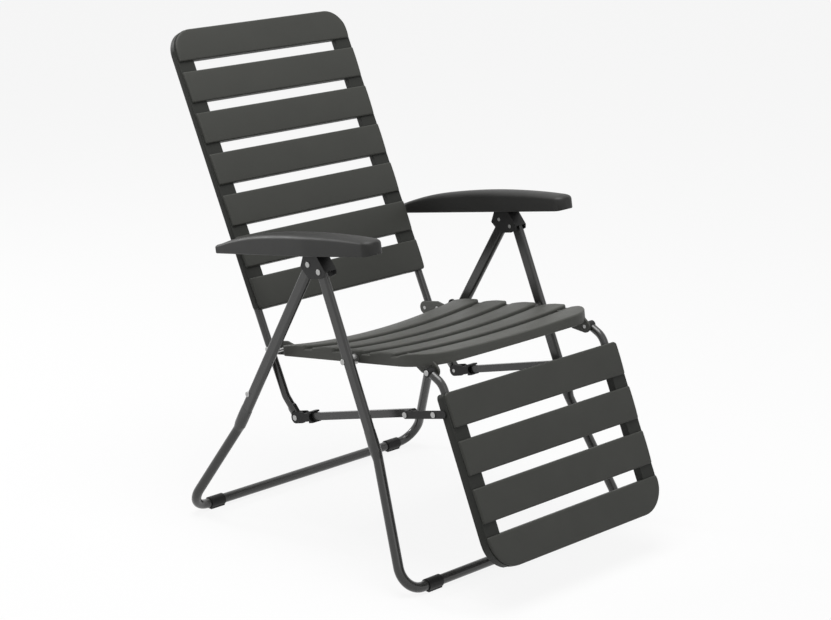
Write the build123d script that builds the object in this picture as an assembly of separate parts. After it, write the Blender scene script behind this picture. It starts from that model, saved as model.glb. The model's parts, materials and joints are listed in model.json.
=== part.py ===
"""Reclining garden armchair: steel tube leg frames, moulded slatted back, seat and footrest.

The chair faces -Y, +Z is up and the floor is z = 0. Side-view points are (y, z) pairs in mm.
"""
import os
from math import cos, hypot, radians, sin

from build123d import *

# Side-view points of the frame, taken from the photograph and scaled to real size.
REAR_TOP = (0.0, 620.0)
FRONT_TOP = (-32.0, 610.0)
REAR_BEND = (233.0, 225.0)
FRONT_BEND = (-188.0, 267.0)
REAR_RUNNER_Y = 347.0
FRONT_RUNNER_Y = -315.0
SEAT_BOLT = (-99.0, 436.0)
LINK_LOW = (200.0, 299.0)
LINK_HIGH = (148.0, 398.0)
ROD_REAR = (102.0, 259.0)
ROD_FRONT = (-245.0, 352.0)
FOOT_HINGE = (-291.0, 446.0)

# Stations across the chair, measured from its middle plane and built out from the panels.
BACK_HALF = 248.0
FOOT_OVER = 8.5
SEAT_OVER = 10.0
STILE_INSET = 11.0
LEG_GAP = 28.0
LINK_GAP = 12.0
REAR_SPLAY = 64.0
FRONT_SPLAY = 47.0
FOOT_HALF = BACK_HALF + FOOT_OVER
SEAT_HALF = BACK_HALF + SEAT_OVER
STILE_X = BACK_HALF - STILE_INSET
LEG_X = SEAT_HALF + LEG_GAP
LINK_X = SEAT_HALF + LINK_GAP
REAR_RUNNER_X = LEG_X + REAR_SPLAY
FRONT_RUNNER_X = LEG_X + FRONT_SPLAY

# Tube sections.
OVAL_WIDE = 27.0
OVAL_THIN = 13.0
RUNNER_R = 10.5
RUNNER_CORNER_R = 45.0
KNEE = 16.0
STILE_R = 8.5
WALL = 1.5
STILE_BEND_R = 30.0
FOOT_BEND_R = 38.0
FOOT_BEND_RISE = 18.0
SLEEVE_WALL = 2.5
SLEEVE_LENGTH = 38.0
SLEEVE_INSET = 82.0
SLEEVE_FLAT = 16.0

# Back and footrest panels.
BACK_FOOT = (209.0, 475.0)
BACK_ANGLE = 26.5
BACK_ROWS = 7
BACK_PITCH = 92.5
BACK_SLAT = 69.2
BACK_CORNER_R = 52.0
FOOT_HEAD = (-350.2, 420.2)
FOOT_ANGLE = 24.2
FOOT_ROWS = 4
FOOT_PITCH = 97.4
FOOT_SLAT = 70.9
FOOT_CORNER_R = 62.0
PANEL_SMALL_R = 9.0
SLAT_INSET = 2.0
BACK_RAIL = 43.0
FOOT_RAIL = 40.0
SLAT_THICK = 10.0
RAIL_RECESS = 5.0
BACK_RAIL_DEPTH = 19.0
FOOT_RAIL_DEPTH = 24.0
STILE_DEPTH = 18.0
SLAT_EDGE_R = 2.5
STILE_TOP_MARGIN = 45.0
STILE_LOW_MARGIN = 50.0

# Seat moulding.
SEAT_FRONT = (-300.0, 486.0)
SEAT_ANGLE = 8.8
SEAT_DISH = 11.0
SEAT_FACETS = 10
SEAT_THICK = 11.0
SEAT_ROWS = 5
SEAT_GAP = 8.0
SEAT_GAP_INSET = 28.0
SEAT_RAIL = 18.0
SEAT_RAIL_DEPTH = 23.0
SEAT_APRON = 9.0
SEAT_FRONT_R = 80.0
SEAT_REAR_R = 12.0
SEAT_NOTCH = 4.0
LUG_INSET = 14.0
LUG_X = STILE_X - LUG_INSET
SEAT_REAR_GAP = 56.0
LUG_THICK = 6.0
LUG_R = 15.0
LUG_ROOT = 42.0
FRONT_LUG_ROOT = 95.0

# Arm rests: underside line from rear to front and thickness shares along it.
ARM_REAR = (312.0, 583.0)
ARM_FRONT = (-188.0, 671.0)
ARM_GAP = 6.5
ARM_WIDE = 50.0
ARM_TAIL_WIDE = 23.0
ARM_INNER_X = BACK_HALF + ARM_GAP
ARM_OUTER_X = ARM_INNER_X + ARM_WIDE
ARM_TAIL_X = ARM_INNER_X + ARM_TAIL_WIDE
ARM_THICK = 45.0
ARM_THICK_SHARES = (
    (0.0, 0.34), (0.12, 0.66), (0.3, 0.92), (0.52, 1.0), (0.76, 0.91), (0.92, 0.68), (1.0, 0.36))
ARM_CROWN = 9.0
ARM_BOLT_DEPTH = 15.0
ARM_CORNER_R = 20.0
ARM_EDGE_R = 5.0

# Pins, rivets and fits.
PIN_R = 4.0
RIVET_HEAD_R = 6.0
RIVET_HEAD = 1.8
RUNNING = 0.05
GAP = 0.4
PLATE = 2.0
LINK_PLATE = 4.0
LEVER_GAP = 2.1
LEVER_X = FOOT_HALF + LEVER_GAP
LINK_R = 11.0
ROD_TALL = 16.0
ROD_THIN = 9.0
FORK_R = 12.0
FORK_CHEEK = 4.0
FORK_LENGTH = 46.0
COLLAR_LENGTH = 12.0
COLLAR_R = 12.0
KNOB_R = 11.0
KNUCKLE_R = 9.2
BRACKET_TOP_DROP = 0.3
BRACKET_TOP_REAR_Y = 15.0
BRACKET_REAR = (23.0, 611.0)
BRACKET_LOW_REAR = (-3.0, 591.0)
BRACKET_LOW_FRONT = (-37.0, 597.0)
BRACKET_FRONT_LOW = (-51.0, 605.0)
BRACKET_FRONT = (-51.0, 614.0)
BRACKET_TOP_FRONT_Y = -26.0
BRACKET_WIDE = 30.0
LEVER_R = 8.0
LEVER_DROP = 39.0
LEVER_RIVET_RUN = 82.0
EYE_R = 10.0
SIDE_SHARES = (("left", -1.0), ("right", 1.0))


def spot(x, point):
    """The 3-D point at station x of a side-view point."""
    return (x, point[0], point[1])


def slab(x, thick, outline):
    """A plate centred on station x with a straight-sided side-view outline."""
    face = make_face(Polyline(*[spot(x - thick / 2, p) for p in outline], close=True))
    return extrude(face, amount=thick, dir=(1, 0, 0))


def disc(x, thick, point, radius):
    """A round plate or pin along X, centred on station x."""
    return Pos(*spot(x, point)) * Rot(0, 90, 0) * Cylinder(radius, thick)


def bar(x, thick, start, end, radius):
    """A round-ended bar between two side-view points."""
    middle = ((start[0] + end[0]) / 2, (start[1] + end[1]) / 2)
    run = (end[0] - start[0], end[1] - start[1])
    plane = Plane(origin=spot(x - thick / 2, middle), x_dir=(0, *run), z_dir=(1, 0, 0))
    return extrude(plane * SlotCenterToCenter(hypot(*run), 2 * radius), amount=thick)


def along(start, end, distance):
    """The side-view point at a distance from start towards end."""
    length = hypot(end[0] - start[0], end[1] - start[1])
    share = distance / length
    return (start[0] + (end[0] - start[0]) * share, start[1] + (end[1] - start[1]) * share)


def swept(points, radius, bend):
    """A round tube along a bent line, with its corners rounded."""
    path = FilletPolyline(*points, radius=bend)
    plane = Plane(origin=path @ 0, z_dir=path % 0)
    return sweep(plane * (Circle(radius) - Circle(radius - WALL)), path=path)


def rivet(x, point, length, side):
    """A pin along X with a domed head on its outer end; x is the inner end's station."""
    shank = disc(side * (x + length / 2), length, point, PIN_R)
    head = disc(side * (x + length + RIVET_HEAD / 2), RIVET_HEAD, point, RIVET_HEAD_R)
    return shank + fillet(head.edges().group_by(Axis.X)[-1 if side > 0 else 0], RIVET_HEAD / 2)


def panel_frame(foot, lean):
    """The local frame of a panel: X across, Y up its face, Z out of its face."""
    s, c = sin(radians(lean)), cos(radians(lean))
    return Plane(origin=spot(0, foot), x_dir=(1, 0, 0), z_dir=(0, -c, s))


def on_panel(foot, lean, height, depth):
    """The side-view point at a height up a panel's face and a depth behind it."""
    s, c = sin(radians(lean)), cos(radians(lean))
    return (foot[0] + height * s + depth * c, foot[1] + height * c - depth * s)


def leg(side, top, bend, bore, bolt):
    """An upper leg: flat-oval tube from its bracket pin down to the bend."""
    run = (bend[0] - top[0], bend[1] - top[1])
    length = hypot(*run) - GAP / 2
    body = bar(side * LEG_X, OVAL_THIN, top, bend, OVAL_WIDE / 2)
    middle = along(top, bend, (length - OVAL_WIDE) / 2)
    frame = Plane(origin=spot(side * LEG_X, middle), x_dir=(0, *run), z_dir=(1, 0, 0))
    body = body & frame * Box(length + OVAL_WIDE, 2 * OVAL_WIDE, 2 * OVAL_THIN)
    body = fillet(body.edges().filter_by(lambda e: e.length > length / 2), OVAL_THIN / 2 - GAP)
    body -= disc(side * LEG_X, 2 * OVAL_THIN, bolt, PIN_R)
    return body - disc(side * LEG_X, 2 * OVAL_THIN, top, bore)


def runner(top, bend, runner_y, runner_x):
    """The lower half of a leg frame: two splayed legs joined by the floor runner."""
    floor = (runner_y, RUNNER_R + SLEEVE_WALL)
    knee = along(bend, top, -KNEE)
    half = [spot(LEG_X, bend), spot(LEG_X, knee), spot(runner_x, floor)]
    points = [(-x, y, z) for x, y, z in half] + half[::-1]
    return swept(points, RUNNER_R, RUNNER_CORNER_R)


def sleeves(runner_y, runner_x):
    """Plastic sleeves near both ends of a floor runner."""
    parts = []
    for _, side in SIDE_SHARES:
        x = side * (runner_x - SLEEVE_INSET)
        spot_yz = (runner_y, RUNNER_R + SLEEVE_WALL)
        ring = disc(x, SLEEVE_LENGTH, spot_yz, RUNNER_R + SLEEVE_WALL)
        height = RUNNER_R + SLEEVE_WALL
        ring += Pos(x, runner_y, height / 2) * Box(SLEEVE_LENGTH, SLEEVE_FLAT, height)
        parts.append(ring - disc(x, 2 * SLEEVE_LENGTH, spot_yz, RUNNER_R + GAP / 4))
    return parts


def slatted_panel(foot, lean, rows, pitch, slat, corners, half, rail, deep, channel):
    """A one-piece slatted panel with recessed side rails that clip over its stiles.

    corners holds the outline's top and bottom radius, channel the stile channel's two ends.
    """
    height = (rows - 1) * pitch + slat
    slat_half = half - SLAT_INSET
    body = None
    for row in range(rows):
        middle = row * pitch + slat / 2
        board = Pos(0, middle, -SLAT_THICK / 2) * Box(2 * slat_half, slat, SLAT_THICK)
        board = fillet(board.edges().group_by(Axis.Z)[-1], SLAT_EDGE_R)
        body = board if body is None else body + board
    rail_thick = deep - RAIL_RECESS
    for _, side in SIDE_SHARES:
        x = side * (half - rail / 2)
        body += Pos(x, height / 2, -(RAIL_RECESS + rail_thick / 2)) * Box(rail, height, rail_thick)
    outline = Pos(0, height / 2) * Rectangle(2 * half, height)
    outline = fillet(outline.vertices().sort_by(Axis.Y)[2:], corners[0])
    outline = fillet(outline.vertices().filter_by(lambda v: abs(v.Y) < GAP), corners[1])
    body = body & (Pos(0, 0, -2 * deep) * extrude(outline, amount=3 * deep))
    clear = STILE_R + GAP
    run, middle = channel[1] - channel[0], (channel[0] + channel[1]) / 2
    for _, side in SIDE_SHARES:
        x = side * STILE_X
        body -= Pos(x, middle, -STILE_DEPTH) * Rot(90, 0, 0) * Cylinder(clear, run)
        body -= Pos(x, middle, -STILE_DEPTH - deep / 2) * Box(2 * clear, run, deep)
    return panel_frame(foot, lean) * body


def back_point(height):
    """A point on the middle line of the back's stiles."""
    return on_panel(BACK_FOOT, BACK_ANGLE, height, STILE_DEPTH)


def foot_point(height):
    """A point on the middle line of the footrest's stiles."""
    return on_panel(FOOT_FOOT, FOOT_ANGLE, height, STILE_DEPTH)


BACK_HEIGHT = (BACK_ROWS - 1) * BACK_PITCH + BACK_SLAT
FOOT_HEIGHT = (FOOT_ROWS - 1) * FOOT_PITCH + FOOT_SLAT
FOOT_FOOT = on_panel(FOOT_HEAD, FOOT_ANGLE, -FOOT_HEIGHT, 0)
BACK_HINGE_DROP = 85.0
STILE_BEND_DROP = 190.0
ARM_BOLT_RISE = 144.0
BACK_HINGE = back_point(-BACK_HINGE_DROP)
ARM_BOLT = back_point(ARM_BOLT_RISE)
SEAT_LENGTH = (BACK_HINGE[0] - SEAT_REAR_GAP - SEAT_FRONT[0]) / cos(radians(SEAT_ANGLE))


def back_stile(side):
    """A back stile: up inside the panel's rail, down past the hinge and forward to the rod."""
    top = back_point(BACK_HEIGHT - STILE_TOP_MARGIN)
    bend = back_point(-STILE_BEND_DROP)
    end = along(ROD_REAR, bend, FORK_R + PLATE)
    body = swept([spot(side * STILE_X, p) for p in (top, bend, end)], STILE_R, STILE_BEND_R)
    body += bar(side * STILE_X, 2 * STILE_R - 2 * FORK_CHEEK, ROD_REAR, along(end, bend, EYE_R), EYE_R)
    for point in (BACK_HINGE, ARM_BOLT):
        body -= disc(side * STILE_X, 4 * STILE_R, point, PIN_R + RUNNING)
    return body - disc(side * STILE_X, 4 * STILE_R, ROD_REAR, PIN_R + RUNNING)


def foot_stile(side):
    """A footrest stile: up inside the panel's rail and back over to its hinge knuckle."""
    low = foot_point(STILE_LOW_MARGIN)
    bend = foot_point(FOOT_HEIGHT + FOOT_BEND_RISE)
    end = along(FOOT_HINGE, bend, KNUCKLE_R)
    return swept([spot(side * STILE_X, p) for p in (low, bend, end)], STILE_R, FOOT_BEND_R)


def foot_knuckle(side):
    """The moulded knuckle that turns on the seat's hinge pin."""
    body = disc(side * STILE_X, 2 * STILE_R, FOOT_HINGE, KNUCKLE_R - GAP / 4)
    return body - disc(side * STILE_X, 4 * STILE_R, FOOT_HINGE, PIN_R + RUNNING)


def seat_point(back, drop):
    """The side-view point a distance back along the seat and a drop below its edge line."""
    s, c = sin(radians(SEAT_ANGLE)), cos(radians(SEAT_ANGLE))
    return (SEAT_FRONT[0] + back * c - drop * s, SEAT_FRONT[1] - back * s - drop * c)


def corner_waste(x, y, across, inward, radius):
    """What is cut from a flat corner at (x, y) to round it; across and inward point into the body."""
    reach = radius + PLATE
    middle = (x + across * (radius - reach / 2), y + inward * (radius - reach / 2))
    block = Pos(*middle, 0) * Box(reach, reach, 4 * SEAT_RAIL_DEPTH)
    return block - Pos(x + across * radius, y + inward * radius, 0) * Cylinder(radius, 5 * SEAT_RAIL_DEPTH)


def seat_panel():
    """The one-piece dished seat: slats running across, side rails, apron and lugs."""
    s, c = sin(radians(SEAT_ANGLE)), cos(radians(SEAT_ANGLE))
    frame = Plane(origin=spot(0, SEAT_FRONT), x_dir=(1, 0, 0), z_dir=(0, s, c))
    section = Plane(origin=(0, 0, 0), x_dir=(1, 0, 0), z_dir=(0, -1, 0))
    inner = SEAT_HALF - SEAT_RAIL

    shares = [step / SEAT_FACETS for step in range(-SEAT_FACETS, SEAT_FACETS + 1)]
    top = [(share * SEAT_HALF, SEAT_DISH * (share ** 2 - 1)) for share in shares]
    narrow = inner / SEAT_HALF
    under = [(share * inner, SEAT_DISH * ((share * narrow) ** 2 - 1) - SEAT_THICK) for share in shares]
    rails = [(SEAT_HALF, -SEAT_RAIL_DEPTH), (inner, -SEAT_RAIL_DEPTH)]
    mirrored = [(-x, z) for x, z in rails[::-1]]
    face = make_face(Polyline(*top, *rails, *under[::-1], *mirrored, close=True))
    body = extrude(section * face, amount=-SEAT_LENGTH)
    pitch = SEAT_LENGTH / SEAT_ROWS
    for row in range(1, SEAT_ROWS):
        body -= Pos(0, row * pitch, 0) * Box(2 * (SEAT_HALF - SEAT_GAP_INSET), SEAT_GAP, 4 * SEAT_RAIL_DEPTH)
        for _, side in SIDE_SHARES:
            body -= Pos(side * SEAT_HALF, row * pitch, 0) * Box(2 * SEAT_RAIL, SEAT_GAP, 2 * SEAT_NOTCH)
    low = -SEAT_RAIL_DEPTH + SEAT_NOTCH
    apron = Box(2 * inner + SEAT_RAIL, SEAT_APRON, -low - SEAT_NOTCH)
    body += Pos(0, SEAT_APRON / 2, (low - SEAT_DISH) / 2 - SEAT_NOTCH) * apron
    tall = SEAT_RAIL_DEPTH - SEAT_NOTCH - SEAT_DISH / 2
    for _, side in SIDE_SHARES:
        middle = (side * (inner - SEAT_FRONT_R / 2 + PLATE), SEAT_FRONT_R / 2 + PLATE)
        body += Pos(*middle, tall / 2 - SEAT_RAIL_DEPTH) * Box(SEAT_FRONT_R, SEAT_FRONT_R, tall)
    for _, side in SIDE_SHARES:
        for edge, inward, radius in ((0, 1, SEAT_FRONT_R), (SEAT_LENGTH, -1, SEAT_REAR_R)):
            body -= corner_waste(side * SEAT_HALF, edge, -side, inward, radius)
    body = frame * body
    for _, side in SIDE_SHARES:
        x = side * LUG_X
        root = [seat_point(r, SEAT_THICK / 2) for r in (SEAT_FRONT_R / 2, FRONT_LUG_ROOT)]
        low = (FOOT_HINGE[0] - LUG_R / 2, FOOT_HINGE[1] - LUG_R / 2)
        body += slab(x, LUG_THICK, [root[0], root[1], FOOT_HINGE, low])
        body += disc(x, LUG_THICK, FOOT_HINGE, LUG_R)
        root = [seat_point(r, SEAT_THICK / 2) for r in (SEAT_LENGTH - LUG_ROOT, SEAT_LENGTH - PLATE)]
        body += slab(x, LUG_THICK, [root[0], root[1], BACK_HINGE, LINK_HIGH])
        body += bar(x, LUG_THICK, LINK_HIGH, BACK_HINGE, LUG_R)
        for point in (FOOT_HINGE, BACK_HINGE, LINK_HIGH):
            body -= disc(x, 2 * LUG_THICK, point, PIN_R)
        body -= disc(side * SEAT_HALF, 2 * SEAT_RAIL, SEAT_BOLT, PIN_R)
    return body


def underside(y, drop):
    """The height of the arms' underside line at y, less a drop."""
    share = (y - ARM_REAR[0]) / (ARM_FRONT[0] - ARM_REAR[0])
    return ARM_REAR[1] + share * (ARM_FRONT[1] - ARM_REAR[1]) - drop


def bracket(side):
    """The U-shaped pressed bracket under an arm: two cheeks joined by a sloping front web."""
    top_rear = (BRACKET_TOP_REAR_Y, underside(BRACKET_TOP_REAR_Y, BRACKET_TOP_DROP))
    top_front = (BRACKET_TOP_FRONT_Y, underside(BRACKET_TOP_FRONT_Y, BRACKET_TOP_DROP))
    outline = [top_rear, BRACKET_REAR, BRACKET_LOW_REAR, BRACKET_LOW_FRONT, BRACKET_FRONT_LOW,
               BRACKET_FRONT, top_front]
    outer = LEG_X + OVAL_THIN / 2 + GAP + PLATE / 2
    inner = outer - BRACKET_WIDE
    body = slab(side * outer, PLATE, outline) + slab(side * inner, PLATE, outline)
    behind = (BRACKET_TOP_FRONT_Y + PLATE, underside(BRACKET_TOP_FRONT_Y + PLATE, BRACKET_TOP_DROP))
    web = [top_front, BRACKET_FRONT, (BRACKET_FRONT[0] + PLATE, BRACKET_FRONT[1]), behind]
    body += slab(side * (outer + inner) / 2, BRACKET_WIDE, web)
    for point in (REAR_TOP, FRONT_TOP):
        body -= disc(side * LEG_X, 4 * BRACKET_WIDE, point, PIN_R)
    return body


def bracket_rivets(point):
    """The pair of rivets through one leg frame's tops and their brackets."""
    outer = LEG_X + OVAL_THIN / 2 + GAP + PLATE
    length = BRACKET_WIDE + PLATE
    return [rivet(outer - length, point, length, side) for _, side in SIDE_SHARES]


def arm(side):
    """A tapered arm rest with a crowned top and a flat underside."""
    run = (ARM_FRONT[0] - ARM_REAR[0], ARM_FRONT[1] - ARM_REAR[1])
    length = hypot(*run)
    up = (run[1] / length, -run[0] / length)
    top = []
    for share, thick in ARM_THICK_SHARES:
        base = (ARM_REAR[0] + run[0] * share, ARM_REAR[1] + run[1] * share)
        top.append(spot(0, (base[0] + up[0] * thick * ARM_THICK, base[1] + up[1] * thick * ARM_THICK)))
    crown = Spline(*top)
    base_line = [Line(top[-1], spot(0, ARM_FRONT)), Line(spot(0, ARM_FRONT), spot(0, ARM_REAR)),
                 Line(spot(0, ARM_REAR), top[0])]
    face = make_face([crown, *base_line])
    body = extrude(face, amount=2 * ARM_OUTER_X, dir=(side, 0, 0))
    rear, front = ARM_REAR[0] + ARM_EDGE_R, ARM_FRONT[0] - ARM_EDGE_R
    plan = make_face(Polyline((ARM_INNER_X, rear), (ARM_TAIL_X, rear), (ARM_OUTER_X, REAR_TOP[0]),
                              (ARM_OUTER_X, front), (ARM_INNER_X, front), close=True))
    plan = fillet(plan.vertices().sort_by(Axis.Y)[:2], ARM_CORNER_R)
    prism = extrude(plan, amount=2 * ARM_FRONT[1])
    if side < 0:
        prism = mirror(prism, about=Plane.YZ)
    body = body & prism
    upper = body.faces().filter_by(lambda face: face.normal_at(face.center()).Z > 0)
    rims = max(upper, key=lambda face: face.area).edges()
    body = fillet([edge for edge in rims if edge.length > 2 * ARM_WIDE], ARM_CROWN)
    reach = ARM_BOLT_DEPTH + GAP
    return body - disc(side * (ARM_INNER_X + reach / 2), reach, ARM_BOLT, PIN_R + RUNNING)


def arm_bolt(side):
    """The bolt that an arm turns on, headed inside the stile and blind in the arm."""
    inner, outer = STILE_X - STILE_R, ARM_INNER_X + ARM_BOLT_DEPTH
    return disc(side * (inner + outer) / 2, outer - inner, ARM_BOLT, PIN_R)


def rear_link(side):
    """The support link: bored for its leg rivet, with an open hook over the seat's knob."""
    body = bar(side * LINK_X, LINK_PLATE, LINK_LOW, LINK_HIGH, LINK_R)
    body -= disc(side * LINK_X, 2 * LINK_PLATE, LINK_LOW, PIN_R + RUNNING)
    away = (LINK_HIGH[1] - REAR_TOP[1], REAR_TOP[0] - LINK_HIGH[0])
    mouth = along(LINK_HIGH, (LINK_HIGH[0] + away[0], LINK_HIGH[1] + away[1]), 2 * LINK_R)
    return body - bar(side * LINK_X, 2 * LINK_PLATE, LINK_HIGH, mouth, PIN_R + GAP)


def link_rivet(side):
    """The rivet that holds a support link on its rear leg."""
    inner = LINK_X - LINK_PLATE / 2 - GAP
    return rivet(inner, LINK_LOW, LEG_X + OVAL_THIN / 2 - inner, side)


def seat_knob(side):
    """The seat's knob that the support link hooks over."""
    start = LUG_X - LUG_THICK / 2
    length = LINK_X + LINK_PLATE / 2 + GAP - start
    return rivet(start, LINK_HIGH, length, side)


def seat_bolt(side):
    """The bolt and spacer that fix the seat to a front leg."""
    inner = SEAT_HALF - SEAT_RAIL
    gap = LEG_X - OVAL_THIN / 2 - SEAT_HALF
    pin = rivet(inner, SEAT_BOLT, LEG_X + OVAL_THIN / 2 - inner, side)
    spacer = disc(side * (SEAT_HALF + gap / 2), gap - GAP, SEAT_BOLT, KNOB_R)
    return pin + spacer


def hinge_pin(side, point):
    """A hinge pin pressed in a seat lug, with its head outside the turning tube."""
    inner = LUG_X - LUG_THICK / 2
    return rivet(inner, point, STILE_X + STILE_R + GAP - inner, side)


def rod_tube(side):
    """The flat steel link rod between its rear fork and its front end."""
    start = along(ROD_REAR, ROD_FRONT, FORK_LENGTH + COLLAR_LENGTH + GAP)
    body = bar(side * STILE_X, ROD_THIN, start, ROD_FRONT, ROD_TALL / 2)
    boss = LEVER_X - LINK_PLATE / 2 - STILE_X
    return body + disc(side * (STILE_X + boss / 2), boss, ROD_FRONT, ROD_TALL / 2)


def rod_fork(side):
    """The moulded fork on a link rod's rear end: two cheeks, a waist and a flanged collar."""
    reach = STILE_R - FORK_CHEEK + GAP + FORK_CHEEK / 2
    body = None
    neck = along(ROD_REAR, ROD_FRONT, FORK_R + STILE_R)
    for offset in (-reach, reach):
        cheek = bar(side * STILE_X + offset, FORK_CHEEK, ROD_REAR, neck, FORK_R)
        body = cheek if body is None else body + cheek
    body -= disc(side * STILE_X, 6 * STILE_R, ROD_REAR, PIN_R)
    waist = [along(ROD_REAR, ROD_FRONT, run) for run in (FORK_R + 2 * STILE_R, FORK_LENGTH)]
    body += bar(side * STILE_X, 2 * reach + FORK_CHEEK, *waist, STILE_R)
    middle = spot(side * STILE_X, along(ROD_REAR, ROD_FRONT, FORK_LENGTH + COLLAR_LENGTH / 2))
    run = (0, ROD_FRONT[0] - ROD_REAR[0], ROD_FRONT[1] - ROD_REAR[1])
    body += Plane(origin=middle, x_dir=run, z_dir=(1, 0, 0)) * Box(COLLAR_LENGTH, 2 * COLLAR_R, 2 * COLLAR_R)
    start = along(ROD_REAR, ROD_FRONT, FORK_LENGTH + COLLAR_LENGTH - GAP)
    return body - bar(side * STILE_X, 4 * STILE_R, start, ROD_FRONT, ROD_TALL / 2 + GAP)


def rod_pin(side):
    """The pin through a fork and the eye of its back stile."""
    reach = STILE_R + GAP
    return rivet(STILE_X - reach, ROD_REAR, 2 * reach, side)


def foot_lever(side):
    """The flat lever on a footrest stile that its link rod pushes."""
    root = foot_point(FOOT_HEIGHT - LEVER_DROP)
    return bar(side * LEVER_X, LINK_PLATE - GAP, ROD_FRONT, root, LEVER_R)


def lever_rivets(side):
    """The two rivets on a footrest lever; the one at the rod stops short of it."""
    outer = LEVER_X + (LINK_PLATE - GAP) / 2
    second = along(ROD_FRONT, foot_point(FOOT_HEIGHT - LEVER_DROP), LEVER_RIVET_RUN)
    return [disc(side * (outer + RIVET_HEAD / 2), RIVET_HEAD, p, RIVET_HEAD_R) for p in (ROD_FRONT, second)]


def build():
    """Make every node of the chair."""
    nodes = {
        "rear_runner": runner(REAR_TOP, REAR_BEND, REAR_RUNNER_Y, REAR_RUNNER_X),
        "front_runner": runner(FRONT_TOP, FRONT_BEND, FRONT_RUNNER_Y, FRONT_RUNNER_X),
        "rear_sleeves": sleeves(REAR_RUNNER_Y, REAR_RUNNER_X),
        "front_sleeves": sleeves(FRONT_RUNNER_Y, FRONT_RUNNER_X),
        "rear_bracket_rivets": bracket_rivets(REAR_TOP),
        "front_bracket_rivets": bracket_rivets(FRONT_TOP),
        "seat_panel": seat_panel(),
        "back_panel": slatted_panel(BACK_FOOT, BACK_ANGLE, BACK_ROWS, BACK_PITCH, BACK_SLAT,
                                    (BACK_CORNER_R, PANEL_SMALL_R), BACK_HALF, BACK_RAIL, BACK_RAIL_DEPTH,
                                    (-STILE_R, BACK_HEIGHT - STILE_TOP_MARGIN + GAP)),
        "foot_panel": slatted_panel(FOOT_FOOT, FOOT_ANGLE, FOOT_ROWS, FOOT_PITCH, FOOT_SLAT,
                                    (PANEL_SMALL_R, FOOT_CORNER_R), FOOT_HALF, FOOT_RAIL, FOOT_RAIL_DEPTH,
                                    (STILE_LOW_MARGIN - GAP, FOOT_HEIGHT + STILE_R)),
        "seat_bolts": [seat_bolt(side) for _, side in SIDE_SHARES],
        "seat_knobs": [seat_knob(side) for _, side in SIDE_SHARES],
        "back_hinge_pins": [hinge_pin(side, BACK_HINGE) for _, side in SIDE_SHARES],
        "foot_hinge_pins": [hinge_pin(side, FOOT_HINGE) for _, side in SIDE_SHARES],
        "arm_bolts": [arm_bolt(side) for _, side in SIDE_SHARES],
        "link_rivets": [link_rivet(side) for _, side in SIDE_SHARES],
        "rod_pins": [rod_pin(side) for _, side in SIDE_SHARES],
        "lever_rivets": [solid for _, side in SIDE_SHARES for solid in lever_rivets(side)],
        "foot_knuckles": [foot_knuckle(side) for _, side in SIDE_SHARES],
    }
    for name, side in SIDE_SHARES:
        nodes[f"rear_leg_{name}"] = leg(side, REAR_TOP, REAR_BEND, PIN_R + RUNNING, LINK_LOW)
        nodes[f"front_leg_{name}"] = leg(side, FRONT_TOP, FRONT_BEND, PIN_R, SEAT_BOLT)
        nodes[f"bracket_{name}"] = bracket(side)
        nodes[f"arm_{name}"] = arm(side)
        nodes[f"back_stile_{name}"] = back_stile(side)
        nodes[f"foot_stile_{name}"] = foot_stile(side)
        nodes[f"rear_link_{name}"] = rear_link(side)
        nodes[f"rod_{name}"] = rod_tube(side)
        nodes[f"rod_fork_{name}"] = rod_fork(side)
        nodes[f"foot_lever_{name}"] = foot_lever(side)
        nodes["back_panel"] -= disc(side * STILE_X, 4 * STILE_R, ARM_BOLT, PIN_R)
    return nodes


def centred(nodes):
    """The nodes moved along Y so that the chair's overall box is centred on the origin."""
    boxes = []
    for shape in nodes.values():
        boxes.extend(item.bounding_box() for item in (shape if isinstance(shape, list) else [shape]))
    shift = -(min(b.min.Y for b in boxes) + max(b.max.Y for b in boxes)) / 2
    moved = {}
    for name, shape in nodes.items():
        items = shape if isinstance(shape, list) else [shape]
        moved[name] = [solid for item in items for solid in (Pos(0, shift, 0) * item).solids()]
    return moved, shift


def main():
    """Write one STEP file per node."""
    os.makedirs("parts", exist_ok=True)
    nodes, shift = centred(build())
    for name, solids in nodes.items():
        export_step(Compound(children=solids) if len(solids) > 1 else solids[0], f"parts/{name}.step")
        print(name, len(solids), round(sum(s.volume for s in solids) / 1000, 1))
    print("moved along y by", round(shift, 4))


main()
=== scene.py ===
"""Looks for the reclining garden armchair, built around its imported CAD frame.

The scene keeps the frame's units and axes: metres, +Z up, the chair faces -Y. Steel tubes,
rivets, plates and rod forks are the CAD's own solids with procedural finishes. The slatted
panels, the dished seat and the arm rests are replaced by lofted surfaces made from numpy grids.
Swages at the leg joints and spacers on the seat bolts are added. Every new piece rides on the
CAD body that it belongs to.
"""

import json
import logging
import math
from collections.abc import Iterable, Iterator, Sequence
from dataclasses import dataclass, field
from enum import Enum
from functools import cache

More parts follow.
